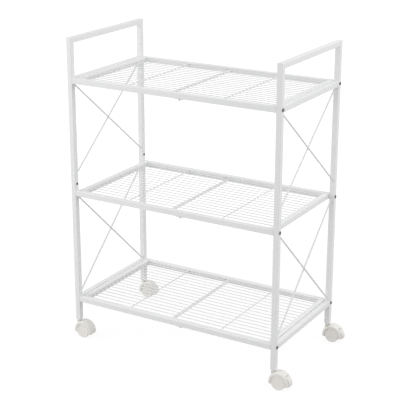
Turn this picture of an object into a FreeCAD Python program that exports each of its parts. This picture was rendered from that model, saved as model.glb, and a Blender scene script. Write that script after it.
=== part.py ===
import FreeCAD, Part
import math
import os

from FreeCAD import Vector

# Rolling utility cart: two welded end frames of square steel tube, three wire
# shelves bolted between them, and four twin-wheel casters.  Millimetres, +Z up,
# X along the shelves, Y from the front (negative) to the rear (positive).
# The origin is on the floor, at the centre of the cart's footprint.

# ---- driving dimensions -------------------------------------------------------
cart_length = 640.0        # over the posts, along X
cart_depth = 350.0         # over the posts, along Y
handle_top = 862.0         # top of the handle bars above the floor
post_bottom = 52.0         # lower ends of the post tubes
shelf_tops = {"bottom": 122.0, "middle": 438.0, "top": 754.0}

tube_size = 15.0           # square tube of frames and shelf rims
tube_wall = 1.2
tube_corner = 1.6          # outside corner radius of the tube

post_seam_rise = 34.0      # seam of the split posts above the middle shelf
post_screw_rise = 19.0     # its screw above the middle shelf
insert_length = 60.0       # sleeves that join the tube halves
insert_wall = 1.2
insert_clearance = 0.1
insert_corner = 1.5          # outside corner radius of sleeves, nuts and plugs

shelf_seam_offset = 312.0  # joint of the two half shelves from the left posts
front_clip_offset = 347.0  # clip below the front rail
rear_clip_offsets = (179.0, 303.0)
clip_length = 25.0
clip_thickness = 1.2
clip_height = 8.0

wire_count = 17
wire_radius = 1.2
wire_rise = 9.3            # wire centres above the underside of the rim
cross_wire_radius = 1.5
end_bar_width = 4.0
end_bar_height = 3.4
half_gap = 1.0             # gap between the two half shelves' end bars
rim_gap = 2.0              # between a shelf's end rail and the end frame
weld_depth = 0.3           # how far welded wires sink into each other

brace_radius = 2.25
brace_gap = 0.1            # between the crossing wires of one brace
lower_brace_clearances = (3.2, 3.2)    # above the bottom and below the middle shelf
upper_brace_clearances = (40.0, 3.2)   # above the middle and below the top shelf

bolt_radius = 2.5
bolt_head_radius = 4.5
bolt_head_height = 2.6
bolt_socket_width = 3.0
bolt_socket_depth = 1.4
bolt_hole_clearance = 0.2
bolt_length = 30.0         # under the head
nut_length = 12.0
thread_clearance = 0.05
screw_radius = 1.6
screw_head_radius = 3.2
screw_head_height = 1.8
screw_length = 6.0
clip_screw_head_height = 4.2
head_round_share = 0.6     # part of a head's height taken up by its rounding

plug_height = 4.5          # tapered foot of the plug below the post
plug_depth = 24.0          # part of the plug inside the post
plug_foot_radius = 6.6

caster_trail = 18.5        # wheel axle behind the stem, towards +X
wheel_radius = 20.0
wheel_width = 9.0
wheel_inner_face = 5.0     # inner side of a wheel from the caster's middle plane
wheel_edge = 1.6
wheel_recess_radius = 15.5
wheel_recess_depth = 1.3
wheel_hub_radius = 6.0
wheel_hub_gap = 0.2
axle_radius = 2.5
axle_clearance = 0.05
axle_end_gap = 0.4
axle_end_wall = 2.0        # wheel material left outside the axle's end
hood_radius = 28.5
hood_half_width = 14.0
hood_edge = 3.2
hood_wheel_clearance = 0.5
hood_skirt = 6.5           # lower edge of the hood below the axle
web_half_width = 4.5
neck_radius = 7.4
neck_top = 41.0
stem_radius = 3.0
stem_clearance = 0.05
stem_bottom = 26.0
stem_end_gap = 0.4
collar_radius = 6.4
collar_gap = 0.2
collar_side_gap = 0.5
stem_socket_depth = 20.0   # stem inside the plug
stem_grip_radius = 4.0

lever_half_width = 8.0
lever_side_gap = 0.3
lever_pivot_radius = 25.3  # pivot from the axle, inside the hood's wall
lever_pivot_angle = 32.0
lever_hub_radius = 2.0
lever_pin_radius = 1.2
lever_pin_clearance = 0.08
lever_pin_length = 3.0
shoe_inner_radius = 21.9
shoe_outer_radius = 24.4
shoe_low_angle = 12.0
window_low_angle = -21.0
window_high_angle = 46.0
window_inner_radius = 19.4
lever_reach = 33.0         # end of the lever from the axle, along X
lever_plate = 4.2
lever_lip = 7.2            # lower end of the lever below the axle
lever_top_angle = 44.0
lever_root_turn = 4.0      # the inner corner at the top lies this far below the outer one
lever_crown_drop = 0.2     # outer corner below the hood's surface
lever_root_sink = 0.5      # inner corner inside the brake shoe
# profile points, as x from the tip and z from the axle, then z from the lower end,
# then x from the back of the plate and z from the axle
lever_outer_curve = ((-8.4, 17.0), (-4.4, 12.6), (-1.6, 7.4), (-0.2, 2.0), (0.0, -2.2))
lever_lip_curve = ((-1.1, 1.6), (-3.2, 0.0), (-4.4, 0.8))
lever_inner_curve = ((0.4, -2.2), (-0.2, 2.0), (-2.0, 7.0), (-4.6, 10.0))

# ---- places worked out from the dimensions ------------------------------------
left_overhang = bolt_head_height
right_overhang = caster_trail + lever_reach - tube_size / 2
left_face = -(cart_length + right_overhang - left_overhang) / 2
right_face = left_face + cart_length
front_face = -cart_depth / 2
rear_face = cart_depth / 2
post_x = {"left": left_face + tube_size / 2, "right": right_face - tube_size / 2}
post_y = {"front": front_face + tube_size / 2, "rear": rear_face - tube_size / 2}
outward = {"left": -1.0, "right": 1.0, "front": -1.0, "rear": 1.0}
sides = ("left", "right")
ends = ("front", "rear")
levels = ("bottom", "middle", "top")
side_rail_levels = ("bottom", "top")     # the middle shelf bolts straight to the posts

inner_left = left_face + tube_size
inner_right = right_face - tube_size
inner_front = front_face + tube_size
inner_rear = rear_face - tube_size
deck_left = inner_left + rim_gap + tube_size
deck_right = inner_right - rim_gap - tube_size
shelf_seam = left_face + shelf_seam_offset
clip_face = inner_rear - clip_thickness     # where wires meet a rear clip
post_seam = shelf_tops["middle"] + post_seam_rise
post_screw_z = shelf_tops["middle"] + post_screw_rise
handle_z = handle_top - tube_size / 2
bore_size = tube_size - 2 * tube_wall
insert_size = bore_size - 2 * insert_clearance
collar_bottom = neck_top + collar_gap
plug_bottom = post_bottom - plug_height
wheel_outer_face = wheel_inner_face + wheel_width

X = Vector(1, 0, 0)
Y = Vector(0, 1, 0)
Z = Vector(0, 0, 1)


# ---- helpers --------------------------------------------------------------------
def save(shape, name):
    shape.exportStep("parts/" + name + ".step")
    print(f"{name:28s} solids {len(shape.Solids):3d}  volume {shape.Volume / 1000:9.3f} cm3")


def group(shapes):
    return Part.makeCompound(shapes)


def span_box(low, high):
    size = high - low
    return Part.makeBox(size.x, size.y, size.z, low)


def edges_along(shape, axis):
    straight = [edge for edge in shape.Edges if edge.Curve.TypeId == "Part::GeomLine"]
    return [edge for edge in straight if abs(edge.Curve.Direction.dot(axis)) > 0.999]


def bar(low, high, axis, corner):
    box = span_box(low, high)
    return box.makeFillet(corner, edges_along(box, axis))


def tube(low, high, axis, wall, corner):
    across = Vector(1, 1, 1) - axis
    inner_low = low + across * wall - axis
    inner_high = high - across * wall + axis
    inner = bar(inner_low, inner_high, axis, corner - wall)
    return bar(low, high, axis, corner).cut(inner)


def frame_tube(low, high, axis):
    return tube(low, high, axis, tube_wall, tube_corner)


def sleeve(low, high, axis):
    return tube(low, high, axis, insert_wall, insert_corner)


def cylinder(radius, start, end):
    direction = end - start
    return Part.makeCylinder(radius, direction.Length, start, direction)


def section_wire(size, corner, x, y, z):
    low = Vector(x - size / 2, y - size / 2, z)
    face = bar(low, low + Vector(size, size, 1), Z, corner).Faces
    bottom = [f for f in face if abs(f.CenterOfMass.z - z) < 1e-6][0]
    return bottom.OuterWire


def revolve_about_y(points, centre):
    corners = [Vector(r, y, 0) for r, y in points]
    outline = Part.makePolygon(corners + [corners[0]])
    solid = Part.Face(outline).revolve(Vector(0, 0, 0), Y, 360)
    solid.translate(centre)
    return solid


# ---- end frames -----------------------------------------------------------------
def upper_frame(side):
    """Both upper posts and the handle: one tube with mitred corners."""
    x = post_x[side]
    limbs = [
        Vector(x, post_y["front"], post_seam),
        Vector(x, post_y["front"], handle_z),
        Vector(x, post_y["rear"], handle_z),
        Vector(x, post_y["rear"], post_seam),
    ]
    path = Part.makePolygon(limbs)
    skins = []
    for size, corner in ((tube_size, tube_corner), (bore_size, tube_corner - tube_wall)):
        section = section_wire(size, corner, x, post_y["front"], post_seam)
        skins.append(path.makePipeShell([section], True, True, 1))
    frame = skins[0].cut(skins[1])
    for end in ends:
        frame = frame.cut(bolt_hole(side, end, shelf_tops["top"]))
    return frame


def lower_post(side, end):
    x = post_x[side]
    y = post_y[end]
    half = tube_size / 2
    post = frame_tube(Vector(x - half, y - half, post_bottom), Vector(x + half, y + half, post_seam), Z)
    for level in ("bottom", "middle"):
        post = post.cut(bolt_hole(side, end, shelf_tops[level]))
    return post.cut(screw_hole(Vector(x, y, post_screw_z), inward(side)))


def inward(side):
    return X * -outward[side]


def bolt_hole(side, end, shelf_top):
    z = shelf_top - tube_size / 2
    centre = Vector(post_x[side], post_y[end], z)
    return cylinder(bolt_radius + bolt_hole_clearance, centre - X * tube_size, centre + X * tube_size)


def screw_hole(centre, direction):
    return cylinder(screw_radius + thread_clearance, centre, centre + direction * tube_size)


def side_rail(side, level):
    top = shelf_tops[level]
    low = Vector(post_x[side] - tube_size / 2, inner_front, top - tube_size)
    high = Vector(post_x[side] + tube_size / 2, inner_rear, top)
    return frame_tube(low, high, Y)


def brace(side, low_z, high_z):
    """Two round wires that cross between the posts, welded to their inner faces."""
    panel = span_box(Vector(left_face - 1, inner_front, 0), Vector(right_face + 1, inner_rear, handle_top))
    offset = brace_radius + brace_gap / 2
    wires = []
    for shift, start_z, end_z in ((-offset, low_z, high_z), (offset, high_z, low_z)):
        x = post_x[side] + shift
        start = Vector(x, inner_front, start_z)
        end = Vector(x, inner_rear, end_z)
        overrun = (end - start).normalize() * tube_size / 2
        wires.append(cylinder(brace_radius, start - overrun, end + overrun).common(panel))
    return group(wires)


# ---- shelves --------------------------------------------------------------------
def long_rail(end, level):
    """Front or rear rail of a shelf: two tubes that meet at the shelf's seam."""
    top = shelf_tops[level]
    y = post_y[end]
    low_z = top - tube_size
    halves = []
    for start, stop in ((inner_left, shelf_seam), (shelf_seam, inner_right)):
        low = Vector(start, y - tube_size / 2, low_z)
        high = Vector(stop, y + tube_size / 2, top)
        half = frame_tube(low, high, X)
        for centre, direction in clip_screw_places(end, top):
            half = half.cut(screw_hole(centre, direction))
        halves.append(half)
    return group(halves)


def clip_screw_places(end, top):
    """Centre of the rail and the way out for each clip screw on one long rail."""
    z = top - tube_size / 2
    if end == "front":
        return [(Vector(left_face + front_clip_offset, post_y[end], z), -Z)]
    return [(Vector(left_face + offset, post_y[end], z), -Y) for offset in rear_clip_offsets]


def end_rail(side, level):
    """Short rail of the shelf rim, just inside the posts."""
    top = shelf_tops[level]
    start = inner_left + rim_gap if side == "left" else inner_right - rim_gap - tube_size
    low = Vector(start, inner_front, top - tube_size)
    high = Vector(start + tube_size, inner_rear, top)
    return frame_tube(low, high, Y)


def wire_deck(level):
    """Two welded mats of long wires over cross wires, one mat per half shelf."""
    wire_z = shelf_tops[level] - tube_size + wire_rise
    cross_z = wire_z - wire_radius - cross_wire_radius + weld_depth
    bar_top = wire_z - wire_radius + weld_depth
    pitch = (inner_rear - inner_front) / wire_count
    mats = []
    for start, stop, bar_side, cross_stop in (
        (deck_left, shelf_seam - half_gap / 2, -1, clip_face),
        (shelf_seam + half_gap / 2, deck_right, 1, inner_rear),
    ):
        mat = [
            cylinder(wire_radius, Vector(start, y, wire_z), Vector(stop, y, wire_z))
            for y in (inner_front + pitch * (i + 0.5) for i in range(wire_count))
        ]
        cross_front = Vector((start + stop) / 2, inner_front, cross_z)
        cross_rear = Vector((start + stop) / 2, cross_stop, cross_z)
        cross = cylinder(cross_wire_radius, cross_front, cross_rear)
        inner = stop if bar_side < 0 else start
        near, far = sorted((inner, inner + bar_side * end_bar_width))
        bar_bottom = bar_top - end_bar_height
        end_bar = span_box(Vector(near, inner_front, bar_bottom), Vector(far, clip_face, bar_top))
        mats.append(cross.multiFuse([end_bar] + mat))
    return group(mats)


def rail_clips():
    """Small plates at the shelf seams and on the rear rails."""
    clips = []
    half = clip_length / 2
    for level in levels:
        top = shelf_tops[level]
        x = left_face + front_clip_offset
        low = Vector(x - half, front_face + tube_corner, top - tube_size - clip_thickness)
        high = Vector(x + half, inner_front - tube_corner, top - tube_size)
        plate = span_box(low, high)
        clips.append(plate.cut(screw_hole(Vector(x, post_y["front"], top - tube_size / 2), -Z)))
        middle = top - tube_size / 2
        for offset in rear_clip_offsets:
            x = left_face + offset
            low = Vector(x - half, inner_rear - clip_thickness, middle - clip_height / 2)
            high = Vector(x + half, inner_rear, middle + clip_height / 2)
            clips.append(span_box(low, high).cut(screw_hole(Vector(x, post_y["rear"], middle), -Y)))
    return group(clips)


def splice_inserts():
    """Sleeves inside the tubes at the post seams and the shelf seams."""
    sleeves = []
    half = insert_size / 2
    reach = insert_length / 2
    for side in sides:
        for end in ends:
            x = post_x[side]
            y = post_y[end]
            low = Vector(x - half, y - half, post_seam - reach)
            high = Vector(x + half, y + half, post_seam + reach)
            seat = Vector(x, y, post_screw_z)
            sleeves.append(sleeve(low, high, Z).cut(screw_hole(seat, inward(side))))
    for level in levels:
        z = shelf_tops[level] - tube_size / 2
        for end in ends:
            low = Vector(shelf_seam - reach, post_y[end] - half, z - half)
            high = Vector(shelf_seam + reach, post_y[end] + half, z + half)
            rail_sleeve = sleeve(low, high, X)
            for centre, direction in clip_screw_places(end, shelf_tops[level]):
                rail_sleeve = rail_sleeve.cut(screw_hole(centre, direction))
            sleeves.append(rail_sleeve)
    return group(sleeves)


# ---- fasteners ------------------------------------------------------------------
def button_screw(seat, direction, shank, length, head_radius, head_height, socket):
    """Domed screw: its head stands on the seat, its shank runs against direction."""
    rise = direction * head_height
    head = cylinder(head_radius, seat, seat + rise)
    rim = [edge for edge in head.Edges if edge.Closed]
    outer = [edge for edge in rim if (edge.CenterOfMass - seat).dot(direction) > head_height / 2]
    head = head.makeFillet(head_height * head_round_share, outer)
    hole = cylinder(socket / 2, seat + rise, seat + direction * (head_height - bolt_socket_depth))
    return head.cut(hole).fuse(cylinder(shank, seat, seat - direction * length))


def frame_bolts():
    bolts = []
    for side in sides:
        face = left_face if side == "left" else right_face
        for end in ends:
            for level in levels:
                seat = Vector(face, post_y[end], shelf_tops[level] - tube_size / 2)
                bolts.append(
                    button_screw(
                        seat, X * outward[side], bolt_radius, bolt_length,
                        bolt_head_radius, bolt_head_height, bolt_socket_width,
                    )
                )
    return group(bolts)


def rail_end_nuts():
    """Square threaded plugs inside the ends of the long rails."""
    nuts = []
    half = insert_size / 2
    for side in sides:
        start = inner_left if side == "left" else inner_right - nut_length
        for end in ends:
            for level in levels:
                z = shelf_tops[level] - tube_size / 2
                low = Vector(start, post_y[end] - half, z - half)
                block = bar(low, low + Vector(nut_length, 2 * half, 2 * half), X, insert_corner)
                axis = Vector(start - 1, post_y[end], z)
                hole = cylinder(bolt_radius + thread_clearance, axis, axis + X * (nut_length + 2))
                nuts.append(block.cut(hole))
    return group(nuts)


def splice_screws():
    screws = []
    for side in sides:
        for end in ends:
            seat = Vector(post_x[side], post_y[end], post_screw_z) + inward(side) * tube_size / 2
            screws.append(
                button_screw(
                    seat, inward(side), screw_radius, screw_length,
                    screw_head_radius, screw_head_height, screw_radius,
                )
            )
    for level in levels:
        for end, head_height in (("front", clip_screw_head_height), ("rear", screw_head_height)):
            for centre, direction in clip_screw_places(end, shelf_tops[level]):
                seat = centre + direction * (tube_size / 2 + clip_thickness)
                screws.append(
                    button_screw(
                        seat, direction, screw_radius, screw_length,
                        screw_head_radius, head_height, screw_radius,
                    )
                )
    return group(screws)


# ---- casters --------------------------------------------------------------------
def post_plugs():
    """Plastic plugs in the post ends, each with a socket for the caster stem."""
    plugs = []
    half = insert_size / 2
    for side in sides:
        for end in ends:
            x = post_x[side]
            y = post_y[end]
            low = Vector(x - half, y - half, post_bottom)
            body = bar(low, low + Vector(insert_size, insert_size, plug_depth), Z, insert_corner)
            square = section_wire(tube_size, tube_corner, x, y, post_bottom)
            circle = Part.Wire(Part.makeCircle(plug_foot_radius, Vector(x, y, plug_bottom), Z))
            foot = Part.makeLoft([square, circle], True, True)
            socket = cylinder(
                stem_grip_radius + thread_clearance,
                Vector(x, y, plug_bottom - 1),
                Vector(x, y, plug_bottom + stem_socket_depth + stem_end_gap),
            )
            plugs.append(body.fuse(foot).cut(socket))
    return group(plugs)


def caster_stem(x, y):
    journal = cylinder(stem_radius, Vector(x, y, stem_bottom), Vector(x, y, plug_bottom))
    collar = cylinder(collar_radius, Vector(x, y, collar_bottom), Vector(x, y, plug_bottom))
    socket = Vector(x, y, plug_bottom)
    grip = cylinder(stem_grip_radius, socket, socket + Z * stem_socket_depth)
    return journal.fuse([collar, grip])


def polar(centre, radius, angle):
    turn = math.radians(angle)
    return centre + Vector(radius * math.cos(turn), 0, radius * math.sin(turn))


def ring_sector(centre, inner, outer, low_angle, high_angle, half_width):
    """Arc-shaped block about the axle, between two angles above the +X direction."""
    middle = (low_angle + high_angle) / 2
    corners = [polar(centre, inner, low_angle), polar(centre, outer, low_angle)]
    corners += [polar(centre, outer, high_angle), polar(centre, inner, high_angle)]
    edges = [
        Part.makeLine(corners[0], corners[1]),
        Part.Arc(corners[1], polar(centre, outer, middle), corners[2]).toShape(),
        Part.makeLine(corners[2], corners[3]),
        Part.Arc(corners[3], polar(centre, inner, middle), corners[0]).toShape(),
    ]
    face = Part.Face(Part.Wire(edges))
    face.translate(Y * -half_width)
    return face.extrude(Y * 2 * half_width)


def caster_hood(x, y, braked):
    axle = Vector(x + caster_trail, y, wheel_radius)
    body = cylinder(hood_radius, axle - Y * hood_half_width, axle + Y * hood_half_width)
    rims = [edge for edge in body.Edges if edge.Closed]
    body = body.makeFillet(hood_edge, rims)
    neck = cylinder(neck_radius, Vector(x, y, wheel_radius), Vector(x, y, neck_top))
    hood = body.fuse(neck)
    below = span_box(
        axle - Vector(2 * hood_radius, 2 * hood_half_width, 2 * hood_radius),
        axle + Vector(2 * hood_radius, 2 * hood_half_width, -hood_skirt),
    )
    hood = hood.cut(below)
    room = wheel_radius + hood_wheel_clearance
    for way in (-1, 1):
        start = axle + Y * way * web_half_width
        hood = hood.cut(cylinder(room, start, start + Y * way * 2 * hood_half_width))
    bore_end = Vector(x, y, stem_bottom - stem_end_gap)
    bore = cylinder(stem_radius + stem_clearance, bore_end, Vector(x, y, neck_top + collar_gap))
    seat = cylinder(collar_radius + collar_side_gap, Vector(x, y, neck_top), Vector(x, y, plug_bottom))
    hood = hood.cut(bore).cut(seat)
    shaft = cylinder(axle_radius, axle - Y * hood_half_width, axle + Y * hood_half_width)
    hood = hood.cut(shaft)
    if braked:
        half = lever_half_width + lever_side_gap
        window = ring_sector(
            axle, window_inner_radius, hood_radius + hood_edge, window_low_angle, window_high_angle, half,
        )
        pivot = polar(axle, lever_pivot_radius, lever_pivot_angle)
        reach = Y * (lever_half_width + lever_pin_length + lever_side_gap)
        pin_room = cylinder(lever_pin_radius + lever_pin_clearance, pivot - reach, pivot + reach)
        hood = hood.cut(window).cut(pin_room)
    return hood.removeSplitter()


def caster_axle(x, y):
    centre = Vector(x + caster_trail, y, wheel_radius)
    half = Y * (wheel_outer_face - axle_end_wall - axle_end_gap)
    return cylinder(axle_radius, centre - half, centre + half)


def caster_wheel(x, y, way):
    """Wheel on one side of the caster: way is -1 in front of the web, +1 behind it."""
    centre = Vector(x + caster_trail, y, wheel_radius)
    bore = axle_radius + axle_clearance
    hub_face = web_half_width + wheel_hub_gap
    recess = wheel_outer_face - wheel_recess_depth
    outline = [
        (0, wheel_outer_face - axle_end_wall),
        (bore, wheel_outer_face - axle_end_wall),
        (bore, hub_face),
        (wheel_hub_radius, hub_face),
        (wheel_hub_radius, wheel_inner_face),
        (wheel_radius - wheel_edge, wheel_inner_face),
        (wheel_radius, wheel_inner_face + wheel_edge),
        (wheel_radius, wheel_outer_face - wheel_edge),
        (wheel_radius - wheel_edge, wheel_outer_face),
        (wheel_recess_radius + wheel_recess_depth / 2, wheel_outer_face),
        (wheel_recess_radius, recess),
        (wheel_hub_radius, recess),
        (wheel_hub_radius - wheel_recess_depth, wheel_outer_face - wheel_recess_depth / 2),
        (0, wheel_outer_face - wheel_recess_depth / 2),
    ]
    return revolve_about_y([(r, way * depth) for r, depth in outline], centre)


def brake_lever(x, y):
    """Foot lever at the rear of a caster, with its brake shoe and pivot pins."""
    axle = Vector(x + caster_trail, y, wheel_radius)
    pivot = polar(axle, lever_pivot_radius, lever_pivot_angle)
    side = Y * lever_half_width
    hub = cylinder(lever_hub_radius, pivot - side, pivot + side)
    shoe = ring_sector(
        axle, shoe_inner_radius, shoe_outer_radius, shoe_low_angle, lever_pivot_angle, lever_half_width,
    )
    tip = lever_reach
    back = lever_reach - lever_plate
    crown = polar(Vector(0, 0, 0), hood_radius - lever_crown_drop, lever_top_angle)
    root_radius = shoe_outer_radius - lever_root_sink
    root = polar(Vector(0, 0, 0), root_radius, lever_top_angle - lever_root_turn)
    profile = [(root.x, root.z), (crown.x, crown.z)]
    profile += [(tip + dx, z) for dx, z in lever_outer_curve]
    profile += [(tip + dx, rise - lever_lip) for dx, rise in lever_lip_curve]
    profile += [(back + dx, z) for dx, z in lever_inner_curve]
    points = [axle + Vector(px, -lever_half_width, pz) for px, pz in profile]
    plate = Part.Face(Part.makePolygon(points + [points[0]])).extrude(2 * side)
    pin_side = side + Y * lever_pin_length
    pin = cylinder(lever_pin_radius, pivot - pin_side, pivot + pin_side)
    return plate.fuse([hub, shoe, pin]).removeSplitter()


# ---- the assembly ---------------------------------------------------------------
def main():
    os.makedirs("parts", exist_ok=True)
    brace_panels = {
        "lower": (
            shelf_tops["bottom"] + lower_brace_clearances[0],
            shelf_tops["middle"] - tube_size - lower_brace_clearances[1],
        ),
        "upper": (
            shelf_tops["middle"] + upper_brace_clearances[0],
            shelf_tops["top"] - tube_size - upper_brace_clearances[1],
        ),
    }
    for side in sides:
        save(upper_frame(side), f"{side}_upper_frame")
        for end in ends:
            save(lower_post(side, end), f"{side}_{end}_lower_post")
        for level in side_rail_levels:
            save(side_rail(side, level), f"{side}_{level}_side_rail")
        for panel, (low_z, high_z) in brace_panels.items():
            save(brace(side, low_z, high_z), f"{side}_{panel}_brace")

    for level in levels:
        for end in ends:
            save(long_rail(end, level), f"{level}_shelf_{end}_rail")
        for side in sides:
            save(end_rail(side, level), f"{level}_shelf_{side}_rail")
        save(wire_deck(level), f"{level}_wire_deck")

    save(rail_clips(), "rail_clips")
    save(splice_inserts(), "splice_inserts")
    save(frame_bolts(), "frame_bolts")
    save(rail_end_nuts(), "rail_end_nuts")
    save(splice_screws(), "splice_screws")
    save(post_plugs(), "post_plugs")

    for side in sides:
        for end in ends:
            x = post_x[side]
            y = post_y[end]
            corner = f"{side}_{end}"
            braked = side == "right"
            save(caster_stem(x, y), f"{corner}_caster_stem")
            save(caster_hood(x, y, braked), f"{corner}_caster_hood")
            save(caster_axle(x, y), f"{corner}_caster_axle")
            save(caster_wheel(x, y, -1), f"{corner}_caster_front_wheel")
            save(caster_wheel(x, y, 1), f"{corner}_caster_rear_wheel")
            if braked:
                save(brake_lever(x, y), f"{corner}_brake_lever")


main()
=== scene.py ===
# %% [markdown]
# # A rolling utility cart
#
# The cart's construction comes ready made: tubes, wires, bolts and casters at their
# real size, each riding on the body that it moves with.  This script gives each of
# them its finish, turns the wheels and screws again with finer sections, adds the
# weld beads that a factory leaves behind, and then lights and frames the result.

# %% Load the frame
import bmesh
import bpy
import math
from mathutils import Matrix, Vector


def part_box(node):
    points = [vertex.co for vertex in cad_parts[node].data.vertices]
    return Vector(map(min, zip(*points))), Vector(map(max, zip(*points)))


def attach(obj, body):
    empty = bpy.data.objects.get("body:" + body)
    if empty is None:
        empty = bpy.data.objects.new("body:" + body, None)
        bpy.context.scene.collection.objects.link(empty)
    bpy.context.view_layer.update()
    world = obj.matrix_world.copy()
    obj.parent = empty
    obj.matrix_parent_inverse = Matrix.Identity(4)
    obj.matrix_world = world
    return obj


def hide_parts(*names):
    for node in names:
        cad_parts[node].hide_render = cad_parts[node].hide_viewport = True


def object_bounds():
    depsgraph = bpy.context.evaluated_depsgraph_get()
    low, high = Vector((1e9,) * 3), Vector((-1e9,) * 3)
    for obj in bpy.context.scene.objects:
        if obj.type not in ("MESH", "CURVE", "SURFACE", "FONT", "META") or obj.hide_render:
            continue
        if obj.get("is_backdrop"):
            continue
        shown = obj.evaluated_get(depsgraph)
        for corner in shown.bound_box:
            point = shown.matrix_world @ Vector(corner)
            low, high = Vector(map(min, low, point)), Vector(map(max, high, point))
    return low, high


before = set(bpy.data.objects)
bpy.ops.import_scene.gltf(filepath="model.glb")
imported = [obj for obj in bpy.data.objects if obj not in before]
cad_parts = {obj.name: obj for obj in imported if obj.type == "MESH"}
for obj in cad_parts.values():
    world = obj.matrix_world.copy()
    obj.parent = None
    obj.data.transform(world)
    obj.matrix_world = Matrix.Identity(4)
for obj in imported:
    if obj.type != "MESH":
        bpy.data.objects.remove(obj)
cad_low, cad_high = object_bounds()
scene = bpy.context.scene
MM = 0.001      # sizes below are in millimetres, Blender's are in metres
print("CAD box in metres:", [round(v, 4) for v in (*cad_low, *cad_high)])

# %% [markdown]
# ## Shader maths as plain expressions
#
# Blender's materials are graphs of nodes.  Wiring every multiplication by hand is
# slow to read, so a small class wraps an output socket and turns + and * into Math
# nodes.  A second class holds one material and has a single method that adds any
# other node: its settings first, then the values or links of its sockets.

# %% Arithmetic on shader sockets
class Field:
    """A number that varies over a surface; arithmetic on it adds Math nodes."""

    def __init__(self, finish, socket):
        self.finish = finish
        self.socket = socket

    def math(self, operation, first, second):
        return self.finish.node("Math", {"operation": operation}, {0: first, 1: second})

    def __add__(self, other):
        return self.math("ADD", self, other)

    def __radd__(self, other):
        return self.math("ADD", other, self)

    def __mul__(self, other):
        return self.math("MULTIPLY", self, other)

    def __rmul__(self, other):
        return self.math("MULTIPLY", other, self)


print("a Field can be added and multiplied")

# %% One material and its nodes
class Finish:
    """One material: a Principled shader and the nodes that feed it."""

    def __init__(self, name, **plain):
        self.material = bpy.data.materials.new(name)
        self.material.use_nodes = True
        self.tree = self.material.node_tree
        self.tree.nodes.clear()
        output = self.tree.nodes.new("ShaderNodeOutputMaterial")
        self.surface = output.inputs["Surface"]
        self.shader = self.tree.nodes.new("ShaderNodeBsdfPrincipled")
        self.tree.links.new(self.shader.outputs["BSDF"], self.surface)
        for socket, value in plain.items():
            self.shader.inputs[socket.replace("_", " ")].default_value = value

    def node(self, kind, settings=None, values=None, output=0):
        made = self.tree.nodes.new("ShaderNode" + kind)
        for key, value in (settings or {}).items():
            setattr(made, key, value)
        for key, value in (values or {}).items():
            self.feed(made.inputs[key], value)
        return Field(self, made.outputs[output])

    def feed(self, socket, value):
        if isinstance(value, Field):
            self.tree.links.new(value.socket, socket)
        else:
            socket.default_value = value

    def set(self, socket, value):
        self.feed(self.shader.inputs[socket], value)

    def place(self):
        return self.node("TexCoord", output="Object")

    def noise(self, scale, detail=2.0, roughness=0.5):
        values = {"Vector": self.place(), "Scale": scale, "Detail": detail, "Roughness": roughness}
        return self.node("TexNoise", {"noise_dimensions": "3D"}, values, output="Fac")

    def colours(self, factor, first, second):
        values = {"Factor": factor, 6: (*first, 1.0), 7: (*second, 1.0)}     # colours A and B
        return self.node("Mix", {"data_type": "RGBA"}, values, output=2)

    def bump(self, height, strength, distance):
        values = {"Height": height, "Strength": strength, "Distance": distance}
        return self.node("Bump", {}, values)


print("material helpers ready")

# %% [markdown]
# ## White powder coat
#
# The tubes and wires are sprayed with dry powder and baked.  The film flows into a
# satin skin with a faint orange peel, a millimetre or two across, and its white is
# never perfectly even.  A printed pattern could be wrapped round the tubes, but noise
# on object coordinates is tied to the metal itself, in real metres, so it doesn't
# stretch from a short wire to a long tube.  The deck wires take a thinner film than
# the tubes, and the crossed braces a greyer white, so that their thin lines read darker.

# %% Powder coat for tubes and wires
def powder_coat(name, white, shadow_white, peel_depth):
    finish = Finish(name, Specular_IOR_Level=0.45)
    clouds = finish.noise(scale=7.0, detail=3.0)
    finish.set("Base Color", finish.colours(clouds, white, shadow_white))
    satin = finish.noise(scale=60.0)
    finish.set("Roughness", 0.36 + 0.10 * satin)
    broad_peel = finish.noise(scale=620.0, detail=1.0)
    fine_peel = finish.noise(scale=1900.0, detail=1.0)
    peel = broad_peel + 0.4 * fine_peel
    finish.set("Normal", finish.bump(peel, strength=0.3, distance=peel_depth))
    return finish.material


tube_peel, wire_peel, brace_peel = 0.080 * MM, 0.012 * MM, 0.015 * MM
coat = powder_coat("white_powder_coat", (0.870, 0.872, 0.874), (0.835, 0.837, 0.840), tube_peel)
wire_coat = powder_coat(
    "white_coated_wire", (0.885, 0.887, 0.889), (0.850, 0.852, 0.855), wire_peel,
)
brace_coat = powder_coat(
    "white_coated_brace", (0.815, 0.817, 0.820), (0.780, 0.782, 0.785), brace_peel,
)
print("coats:", coat.name, wire_coat.name, brace_coat.name)

# %% [markdown]
# ## Moulded plastics
#
# Caster hoods, brake levers and wheels are moulded in an off-white nylon, warmer than
# the painted steel beside it, with a fine matt skin from the mould.  Plain colour
# would look like paint here; two close ivories mixed by a fine noise, and a bump too
# small to see as relief, give the slightly chalky light of nylon.  The wheels take a
# lighter copy of that nylon: painted light, standing in for the front light that the
# lamps give too little of near the floor.  The plugs and the rail clips are a cooler
# white plastic from the same recipe.

# %% Nylon and white plastic
def moulded_plastic(name, light, dark, smoothest):
    finish = Finish(name, Specular_IOR_Level=0.42)
    mottle = finish.noise(scale=90.0, detail=4.0, roughness=0.6)
    finish.set("Base Color", finish.colours(mottle, light, dark))
    dull_spots = finish.noise(scale=300.0)
    finish.set("Roughness", smoothest + 0.12 * dull_spots)
    mould_skin = finish.noise(scale=2600.0)
    finish.set("Normal", finish.bump(mould_skin, strength=0.35, distance=0.05 * MM))
    return finish.material


ivory = moulded_plastic("ivory_nylon", (0.885, 0.866, 0.836), (0.858, 0.836, 0.800), 0.38)
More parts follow.
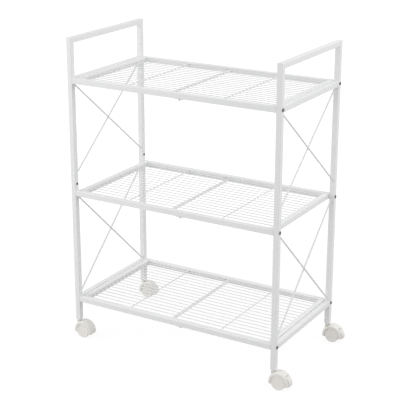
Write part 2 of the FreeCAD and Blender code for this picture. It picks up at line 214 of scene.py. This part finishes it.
# the wheels' own ivory nylon, painted lighter: painted light for the weak front light near the
# floor
wheel_ivory_painted_lighter = moulded_plastic("wheel_nylon_painted_lighter", (0.915, 0.890, 0.850), (0.885, 0.858, 0.815), 0.34)
white_plastic = moulded_plastic("white_moulded", (0.84, 0.845, 0.85), (0.80, 0.805, 0.81), 0.42)
print("plastics:", ivory.name, wheel_ivory_painted_lighter.name, white_plastic.name)

# %% [markdown]
# ## Plated and blackened steel
#
# Stems, axles and nuts are zinc plated and slightly yellow.  The clip screws are a
# plain grey, the bolts darker, and the small screws in the posts nearly black.  Metal
# has no colour of its own under the light, so Metallic is 1 and the base colour tints
# its reflections.  A grain in colour and roughness breaks the mirror up, as plating
# does on cheap fasteners.

# %% Four steels from one recipe
def plated(name, bright, dull, smoothest):
    finish = Finish(name, Metallic=1.0)
    grain = finish.noise(scale=420.0, detail=4.0, roughness=0.65)
    finish.set("Base Color", finish.colours(grain, bright, dull))
    dull_spots = finish.noise(scale=900.0)
    finish.set("Roughness", smoothest + 0.18 * dull_spots)
    pits = finish.noise(scale=1500.0)
    finish.set("Normal", finish.bump(pits, strength=0.4, distance=0.06 * MM))
    return finish.material


zinc_steel = plated("zinc_steel", (0.66, 0.68, 0.61), (0.56, 0.58, 0.51), 0.42)
dark_steel = plated("dark_zinc_steel", (0.20, 0.20, 0.21), (0.13, 0.13, 0.14), 0.38)
black_steel = plated("black_screw_steel", (0.075, 0.075, 0.08), (0.05, 0.05, 0.055), 0.40)
dull_steel = plated("clip_screw_steel", (0.50, 0.50, 0.505), (0.40, 0.40, 0.41), 0.42)
print("metals:", zinc_steel.name, dark_steel.name, black_steel.name, dull_steel.name)

# %% [markdown]
# ## A finish for every piece of the frame
#
# The tubes, wires, hoods and plugs already have their final shape, so they keep their
# meshes and only take a material.  The names of the nodes say what each one is, and a
# short chain of tests turns a name into a finish.

# %% Give every CAD node its finish
def finish_for(name):
    if name in ("frame_bolts", "splice_screws"):
        return dark_steel
    if name == "rail_end_nuts" or name.endswith(("_axle", "_stem")):
        return zinc_steel
    if name.endswith(("_hood", "_wheel", "_brake_lever")):
        return ivory
    if name in ("rail_clips", "post_plugs"):
        return white_plastic
    if name.endswith("_wire_deck"):
        return wire_coat
    if name.endswith("_brace"):
        return brace_coat
    return coat


for name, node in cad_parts.items():
    node.data.materials.clear()
    node.data.materials.append(finish_for(name))
print("finished", len(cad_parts), "CAD nodes")

# %% [markdown]
# ## Turned parts
#
# Wheels, bolt heads and screw heads are round, so each starts as half of its
# section and is spun about its axis.  The spun shape is merged where its ends meet,
# and its normals are recalculated before it is moved into place.  A pattern that is
# needed several times is turned once and then copied to its places in one mesh.

# %% Turn a section
same_point = 0.001 * MM      # points closer than this are one


def turned(section, steps):
    """A bmesh: (radius, height) pairs in millimetres, spun about Z."""
    shape = bmesh.new()
    points = [shape.verts.new((radius * MM, 0.0, height * MM)) for radius, height in section]
    edges = [shape.edges.new(pair) for pair in zip(points, points[1:])]
    bmesh.ops.spin(
        shape, geom=points + edges, cent=(0, 0, 0), axis=(0, 0, 1),
        angle=2 * math.pi, steps=steps, use_merge=True,
    )
    bmesh.ops.remove_doubles(shape, verts=shape.verts, dist=same_point)
    bmesh.ops.recalc_face_normals(shape, faces=shape.faces)
    return shape


print("sections turn about Z, and points", same_point, "m apart are merged")

# %% From a bmesh to a piece that rides on a body
def shade(shape, sharp_angle):
    """Smooth faces, with a crease where two of them meet at more than the angle."""
    for face in shape.faces:
        face.smooth = True
    for edge in shape.edges:
        edge.smooth = edge.calc_face_angle(0.0) < math.radians(sharp_angle)


def piece(name, shape, material, body, sharp_angle=32.0):
    """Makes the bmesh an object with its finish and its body."""
    mesh = bpy.data.meshes.new(name)
    shade(shape, sharp_angle)
    shape.to_mesh(mesh)
    shape.free()
    mesh.materials.append(material)
    made = bpy.data.objects.new(name, mesh)
    scene.collection.objects.link(made)
    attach(made, body)
    return made


def copies(pattern, places):
    """One bmesh with a copy of the pattern at each placement matrix."""
    mesh = bpy.data.meshes.new("pattern")
    pattern.to_mesh(mesh)
    pattern.free()
    whole = bmesh.new()
    for place in places:
        before = len(whole.verts)
        whole.from_mesh(mesh)
        whole.verts.ensure_lookup_table()
        bmesh.ops.transform(whole, matrix=place, verts=whole.verts[before:])
    bpy.data.meshes.remove(mesh)
    return whole


def facing(direction, place):
    """Turns Z to the direction and moves the origin to the place."""
    turn = Vector(direction).to_track_quat("Z", "X").to_matrix()
    return Matrix.Translation(place) @ turn.to_4x4()


print("a bmesh can be shaded, copied, turned to a face and made a piece")

# %% [markdown]
# ## Caster wheels
#
# Each caster runs on two nylon wheels with a closed cover on the outside.  A wheel
# could be a cylinder with bevelled edges, but a section shows in one place how bore,
# tread, rim and cover follow each other, and gives the rim its soft shoulder.  The
# cover is very slightly domed and sits up to half a millimetre below the rim.

# %% Turn the wheels
wheel_bore = [(0.0, 7.3), (2.55, 7.3), (2.55, 0.0), (6.0, 0.0), (6.0, 0.3)]
wheel_tread = [
    (18.4, 0.3), (19.1, 0.5), (19.6, 1.0), (19.85, 1.7), (20.0, 4.8),
    (19.85, 7.9), (19.6, 8.6), (19.1, 9.1), (18.4, 9.3),
]
wheel_cover = [
    (16.6, 9.3), (16.1, 9.22), (15.7, 9.02), (15.4, 8.84), (14.8, 8.76),
    (10.0, 8.92), (5.0, 9.02), (0.0, 9.05),
]
wheel_section = wheel_bore + wheel_tread + wheel_cover
wheel_steps = 72
wheel_nodes = [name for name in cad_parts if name.endswith("_wheel")]
for name in wheel_nodes:
    low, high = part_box(name)
    centre = (low + high) / 2
    outward = -1.0 if name.endswith("front_wheel") else 1.0
    inner_face = high.y if outward < 0 else low.y
    place = facing((0, outward, 0), (centre.x, inner_face, centre.z))
    shape = copies(turned(wheel_section, wheel_steps), [place])
    # the wheels wear the nylon that is painted lighter, as painted front light
    made = piece(name + "_moulding", shape, wheel_ivory_painted_lighter, name)
    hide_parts(name)
print("turned", len(wheel_nodes), "wheels of", len(wheel_section), "section points")

# %% [markdown]
# ## Brake levers
#
# The two right casters have a foot lever over the back of the hood.  Its construction
# is a thin plate with corners, while the moulding it stands for is pressed with a
# bare foot or a sock and has no sharp edge anywhere.  The lever could be modelled
# again from a profile, but a merged copy of the ready mesh keeps its fit in the hood:
# its flat triangles are dissolved into whole faces, and the edges round both of its
# sides are bevelled.

# %% Soften the levers
lever_half_width = 8.0 * MM      # without the pivot pins
lever_rounding = 0.7 * MM
lever_corner = 60.0              # degrees; edges sharper than this are rounded
touch = 0.01 * MM                # points this close to a plane lie in it


def softened(node):
    """A merged copy of a lever's mesh with rounded edges round its two sides."""
    shape = bmesh.new()
    shape.from_mesh(node.data)
    bmesh.ops.remove_doubles(shape, verts=shape.verts, dist=same_point)
    bmesh.ops.dissolve_limit(
        shape, angle_limit=math.radians(1), verts=shape.verts, edges=shape.edges,
        use_dissolve_boundaries=False,
    )
    low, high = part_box(node.name)
    middle_y = (low.y + high.y) / 2

    def on_a_side(vert):
        return abs(abs(vert.co.y - middle_y) - lever_half_width) < touch

    rim = [
        edge for edge in shape.edges
        if edge.is_convex and edge.calc_face_angle(0.0) > math.radians(lever_corner)
        and all(map(on_a_side, edge.verts))
    ]
    bmesh.ops.bevel(
        shape, geom=rim, offset=lever_rounding, offset_type="OFFSET", segments=3, profile=0.5,
        affect="EDGES", clamp_overlap=True, material=-1,
    )
    bmesh.ops.recalc_face_normals(shape, faces=shape.faces)
    return shape, len(rim)


lever_nodes = [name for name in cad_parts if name.endswith("_brake_lever")]
for name in lever_nodes:
    shape, rounded = softened(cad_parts[name])
    made = piece(name + "_moulding", shape, ivory, name, sharp_angle=44.0)
    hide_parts(name)
    print(name, "rounded along", rounded, "edges")

# %% [markdown]
# ## Bolts and screws
#
# The frame bolts have button heads with a hexagon socket; the small screws have
# low pan heads with a crossed recess.  A plain disc would do at arm's length, but
# the dome catches a highlight and the recess holds a dark spot, and those two are
# what the eye reads as a bolt.

# %% Where the bolts and screws sit
def solids_of(name):
    """Lowest and highest corners of each separate solid in a CAD node."""
    shape = bmesh.new()
    shape.from_mesh(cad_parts[name].data)
    bmesh.ops.remove_doubles(shape, verts=shape.verts, dist=same_point)
    boxes = []
    counted = set()
    for start in shape.verts:
        if start in counted:
            continue
        solid = {start}
        front = [start]
        while front:
            for edge in front.pop().link_edges:
                for vert in edge.verts:
                    if vert not in solid:
                        solid.add(vert)
                        front.append(vert)
        counted |= solid
        spans = [[vert.co[axis] for vert in solid] for axis in range(3)]
        boxes.append((Vector(map(min, spans)), Vector(map(max, spans))))
    shape.free()
    return boxes


def seat(box, direction):
    """Placement whose Z points out of the head and whose origin is the head's top."""
    low, high = box
    middle = (low + high) / 2
    axis = max(range(3), key=lambda i: abs(direction[i]))
    middle[axis] = high[axis] if direction[axis] > 0 else low[axis]
    return facing(direction, middle)


for name in ("frame_bolts", "splice_screws"):
    print(name, "has", len(solids_of(name)), "solids")

# %% A turned part with a recess in its head
def recessed(section, steps, mouth_of, depth):
    """Turns the section, whose last point is an open ring, and sinks a recess in it."""
    shape = turned(section, steps)
    rim = [edge for edge in shape.edges if edge.is_boundary]
    mouth = mouth_of(shape, section[-1][1] * MM)
    bmesh.ops.bridge_loops(shape, edges=rim + mouth)
    walls = bmesh.ops.extrude_edge_only(shape, edges=mouth)["geom"]
    sunk = [item for item in walls if isinstance(item, bmesh.types.BMVert)]
    bmesh.ops.translate(shape, verts=sunk, vec=(0, 0, -depth * MM))
    bmesh.ops.holes_fill(shape, edges=[edge for edge in shape.edges if edge.is_boundary], sides=0)
    bmesh.ops.recalc_face_normals(shape, faces=shape.faces)
    return shape


def hexagon_mouth(shape, height):
    """Edges of a hexagon three millimetres across its flats."""
    place = Matrix.Translation((0, 0, height))
    ring = bmesh.ops.create_circle(shape, segments=6, radius=1.73 * MM, matrix=place)["verts"]
    return [edge for edge in shape.edges if edge.verts[0] in ring and edge.verts[1] in ring]


def cross_mouth(shape, height):
    """Edges of a cross, drawn as four turned copies of a quarter."""
    arm, half_width = 1.5 * MM, 0.3 * MM
    quarter = [(arm, -half_width), (arm, half_width), (half_width, half_width)]
    corners = []
    for _ in range(4):
        corners += [shape.verts.new((x, y, height)) for x, y in quarter]
        quarter = [(-y, x) for x, y in quarter]
    return [shape.edges.new(pair) for pair in zip(corners, corners[1:] + corners[:1])]


print("recesses: hexagon and cross")

# %% Frame bolts
bolt_section = [
    (0.0, -32.6), (2.2, -32.6), (2.5, -32.2), (2.5, -2.6), (4.3, -2.6), (4.5, -2.35),
    (4.45, -1.8), (4.2, -1.1), (3.7, -0.5), (3.0, -0.12), (2.3, 0.0),
]
bolt_steps = 32
socket_depth = 1.4      # millimetres
bolt_places = [seat(box, (math.copysign(1, box[0].x), 0, 0)) for box in solids_of("frame_bolts")]
bolt = recessed(bolt_section, bolt_steps, hexagon_mouth, socket_depth)
bolts = copies(bolt, bolt_places)
made = piece("frame_button_bolts", bolts, dark_steel, "frame")
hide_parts("frame_bolts")
print("frame bolts:", len(bolt_places))

# %% One small screw
def way_out(box):
    """Post screws look into the cart, clip screws to the front or down."""
    low, high = box
    axis = max(range(3), key=lambda i: high[i] - low[i])
    return ((-math.copysign(1, low.x), 0, 0), (0, -1, 0), (0, 0, -1))[axis]


shank_length, shank_radius = 6.0, 1.55      # millimetres
mouth_radius, cross_depth = 1.75, 0.9
screw_steps = 28


def screw(box):
    """A pan-head screw as long, and as wide in the head, as the solid it stands for."""
    size = box[1] - box[0]
    length = max(size) / MM
    head_radius = min(size) / MM / 2
    head_height = length - shank_length
    section = [
        (0.0, -length), (shank_radius - 0.35, -length), (shank_radius, 0.4 - length),
        (shank_radius, -head_height), (head_radius - 0.1, -head_height),
        (head_radius, 0.2 - head_height), (head_radius, -1.2), (head_radius - 0.3, -0.55),
        (head_radius - 0.9, -0.12), (mouth_radius, 0.0),
    ]
    return recessed(section, screw_steps, cross_mouth, cross_depth)


print("a screw has", screw_steps, "steps round its axis")

# %% Splice screws in the posts, clip screws on the rails
screws = {"post": [], "rail": []}
for box in solids_of("splice_screws"):
    screws["post" if way_out(box)[0] else "rail"].append(box)
for kind, finish in (("post", black_steel), ("rail", dull_steel)):
    whole = bmesh.new()
    for box in screws[kind]:
        one = copies(screw(box), [seat(box, way_out(box))])
        mesh = bpy.data.meshes.new("screw")
        one.to_mesh(mesh)
        one.free()
        whole.from_mesh(mesh)
        bpy.data.meshes.remove(mesh)
    made = piece(kind + "_pan_screws", whole, finish, "frame")
    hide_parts("splice_screws")
    print(kind, "screws:", len(screws[kind]))

# %% [markdown]
# ## Weld beads
#
# The end frames, shelf rims and braces are welded before they are sprayed, and the
# powder runs over the beads and softens them.  A bead could be swept along its seam,
# but a real one is a row of overlapping drops, so each is a stretched sphere.  They
# sit under the rails and in the corners, while the faces that are seen are ground
# flush.  The ends of the deck wires get one small nugget each, as a spot welder
# leaves it.

# %% Drops of weld at the brace ends
def drop(stretch, fineness=2):
    """A small sphere of one millimetre radius, stretched along X, Y and Z."""
    shape = bmesh.new()
    bmesh.ops.create_icosphere(shape, subdivisions=fineness, radius=MM)
    bmesh.ops.scale(shape, vec=stretch, verts=shape.verts)
    return shape


brace_nodes = [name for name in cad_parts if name.endswith("_brace")]
wire_end = 2.9 * MM      # from a wire's corner to its middle line, up the post
places = []
for name in brace_nodes:
    brace_low, brace_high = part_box(name)
    for low, high in solids_of(name):
        x = (low.x + high.x) / 2
        start, stop = low.z + wire_end, high.z - wire_end
        if x > (brace_low.x + brace_high.x) / 2:      # this wire of the cross falls
            start, stop = stop, start
        places += [Matrix.Translation((x, low.y, start)), Matrix.Translation((x, high.y, stop))]
brace_drops = copies(drop(stretch=(3.3, 1.5, 4.2)), places)
piece("brace_weld_drops", brace_drops, coat, "frame")
print("brace ends:", len(places))

# %% Beads under the short rails of the end frames and shelf rims
short_rails = [
    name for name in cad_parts
    if name.endswith(("_side_rail", "_shelf_left_rail", "_shelf_right_rail"))
]
bead_start, bead_pitch = 0.15, 0.14      # shares of the rail's width
drops_per_bead = 6
bead_sink = 0.2 * MM                     # into the rail, so that the drops bite
places = []
for name in short_rails:
    low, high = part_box(name)
    for y in (low.y, high.y):
        for i in range(drops_per_bead):
            x = low.x + (high.x - low.x) * (bead_start + bead_pitch * i)
            places.append(Matrix.Translation((x, y, low.z + bead_sink)))
rail_drops = copies(drop(stretch=(1.5, 1.3, 1.2)), places)
piece("rail_weld_beads", rail_drops, coat, "frame")
print("beads:", len(places), "drops")

# %% Nuggets where the deck wires meet the rims
wire_gap = 5.0 * MM      # more than a wire is thick, less than the space between two


def wire_ends(name):
    """Middle of each long wire's end face, on both ends of a deck."""
    points_of_deck = [vert.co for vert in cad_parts[name].data.vertices]
    middles = []
    for outer_x in (corner.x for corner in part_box(name)):
        points = [point for point in points_of_deck if abs(point.x - outer_x) < touch]
        points.sort(key=lambda point: point.y)
        groups = [[points[0]]]
        for point in points[1:]:
            if point.y - groups[-1][-1].y > wire_gap:
                groups.append([])
            groups[-1].append(point)
        middles += [sum(group, Vector()) / len(group) for group in groups]
    return middles


decks = [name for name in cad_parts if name.endswith("_wire_deck")]
places = [Matrix.Translation(point) for name in decks for point in wire_ends(name)]
nuggets = copies(drop(stretch=(0.9, 1.7, 1.6), fineness=1), places)
piece("wire_weld_nuggets", nuggets, wire_coat, "frame")
print("nuggets:", len(places))

# %% [markdown]
# ## Floor
#
# The cart stands on seamless white.  A white floor lit by lamps alone would need so
# much light that the cart would burn out, so most of the floor's brightness is a glow
# that only the camera and mirror-like surfaces see; the rest is plain matt floor,
# which still takes the soft shadow of the casters.  Further out the glow takes over
# completely and the floor melts into the backdrop.

# %% Lay the floor
floor_mesh = bpy.data.meshes.new("floor")
floor = bpy.data.objects.new("floor", floor_mesh)
scene.collection.objects.link(floor)
floor_radius = 8.0      # metres
shape = bmesh.new()
bmesh.ops.create_circle(shape, cap_ends=True, segments=96, radius=floor_radius)
shape.to_mesh(floor_mesh)
shape.free()
floor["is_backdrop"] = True
print("floor laid at z = 0, faces:", len(floor_mesh.polygons))

# %% Give the floor its glow
near_share = 0.80        # share of the glow round the casters
near_reach = 0.5         # metres from the middle of the cart
far_reach = 1.6          # from here on the floor is all glow
glow_strength = 1.14
floor_grey = (0.50, 0.50, 0.50, 1.0)
pale = Finish("pale_floor", Base_Color=floor_grey, Roughness=0.9, Specular_IOR_Level=0.0)
glow = pale.node("Emission", {}, {"Color": (1.0, 1.0, 1.0, 1.0), "Strength": glow_strength})
seen = pale.node("LightPath", output="Is Camera Ray")
mirrored = pale.node("LightPath", output="Is Glossy Ray")
away = pale.node("VectorMath", {"operation": "LENGTH"}, {0: pale.place()}, output="Value")
glow_share = pale.node("MapRange", {"interpolation_type": "SMOOTHSTEP"}, {
    "Value": away, "From Min": near_reach, "From Max": far_reach,
    "To Min": near_share, "To Max": 1.0,
}) * (seen + mirrored)
matt = Field(pale, pale.shader.outputs["BSDF"])
pale.feed(pale.surface, pale.node("MixShader", {}, {0: glow_share, 1: matt, 2: glow}))
floor_mesh.materials.append(pale.material)
print("glow at the casters:", near_share, "and all of it from", far_reach, "m")

# %% [markdown]
# ## World
#
# Soft light from all round fills the shadows, as white studio walls do.  The camera
# sees those walls as pure white, but they light the cart at three quarters of that
# strength, so that the lamps can still model the tubes.

# %% White to the eye, softer as light
world = bpy.data.worlds.new("studio")
scene.world = world
world.use_nodes = True
tree = world.node_tree
tree.nodes.clear()
sky_out = tree.nodes.new("ShaderNodeOutputWorld")
sky = tree.nodes.new("ShaderNodeBackground")
sky.inputs["Color"].default_value = (1.0, 1.0, 1.0, 1.0)
path = tree.nodes.new("ShaderNodeLightPath")
soft = tree.nodes.new("ShaderNodeMix")
soft.data_type = "FLOAT"
strength_as_light, strength_to_the_eye = 0.75, 1.0
tree.links.new(path.outputs["Is Camera Ray"], soft.inputs["Factor"])
soft.inputs[2].default_value = strength_as_light        # A
soft.inputs[3].default_value = strength_to_the_eye      # B
tree.links.new(soft.outputs[0], sky.inputs["Strength"])
tree.links.new(sky.outputs["Background"], sky_out.inputs["Surface"])
print("world strength:", strength_as_light, "as light,", strength_to_the_eye, "to the eye")

# %% [markdown]
# ## Lamps
#
# A white object on white is drawn by small differences between its faces.  The large
# softbox on the left stands far enough to the front that the left faces stay clear of
# white, and makes the left posts the brightest.  A weak low one in front lifts the
# front faces and the casters, and a high one on the right lights the tops and the
# outer faces of the right end.  One behind does the same for the rear rails.  Square
# lamps over a metre wide keep every shadow soft.

# %% Hang the lamps
def softbox(name, place, target, size, power):
    data = bpy.data.lights.new(name, "AREA")
    data.shape = "SQUARE"
    data.size = size
    data.energy = power
    lamp = bpy.data.objects.new(name, data)
    scene.collection.objects.link(lamp)
    lamp.location = place
    lamp.rotation_euler = (Vector(target) - Vector(place)).to_track_quat("-Z", "Y").to_euler()


middle = (cad_low + cad_high) / 2
softbox("left_light", (-2.2, -1.5, 1.0), middle, 1.6, 23.6)
softbox("low_front_light", (0.3, -2.8, 0.6), middle, 1.4, 2.3)
softbox("high_right_light", (2.4, 0.2, 2.4), middle, 1.8, 22.4)
softbox("high_rear_light", (0.2, 2.6, 2.4), middle, 1.8, 9.0)
print("lamps aimed at", [round(v, 3) for v in middle])

# %% [markdown]
# ## Camera
#
# The lens is long, almost a hundred millimetres, so the shelves narrow only a little
# towards the back.  The camera stands to the right of the cart at a raised height and
# looks down on the shelves.  Its place and its three angles are named values, and the
# matrix is built from the three directions that they give.

# %% Place the camera
camera_place = Vector((1.5010, -2.5902, 1.4287))
camera_turn = math.radians(30.194)      # heading, from +Y towards -X
camera_tilt = math.radians(19.061)      # below the horizon
camera_roll = math.radians(0.21)
forward = Vector((
    -math.sin(camera_turn) * math.cos(camera_tilt),
    math.cos(camera_turn) * math.cos(camera_tilt),
    -math.sin(camera_tilt),
))
level = Vector((math.cos(camera_turn), math.sin(camera_turn), 0.0))
upright = level.cross(forward)
right = math.cos(camera_roll) * level + math.sin(camera_roll) * upright
up = right.cross(forward)
camera_data = bpy.data.cameras.new("camera")
camera_data.sensor_width = 36.0      # millimetres, as is the lens
camera_data.lens = 99.52
camera = bpy.data.objects.new("camera", camera_data)
scene.collection.objects.link(camera)
camera.matrix_world = Matrix((
    (right.x, up.x, -forward.x, camera_place.x),
    (right.y, up.y, -forward.y, camera_place.y),
    (right.z, up.z, -forward.z, camera_place.z),
    (0.0, 0.0, 0.0, 1.0),
))
scene.camera = camera
scene.view_settings.view_transform = "Standard"
print("camera at", [round(v, 3) for v in camera_place])

# %% [markdown]
# ## The dressed cart's box
#
# The dressed cart's box is printed here, in metres, as the CAD box was printed
# when the construction was loaded. The dressed cart has to stay inside the box of
# its construction.

# %% Note the size
low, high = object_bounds()
print("visual box in metres:", [round(v, 4) for v in (*low, *high)])
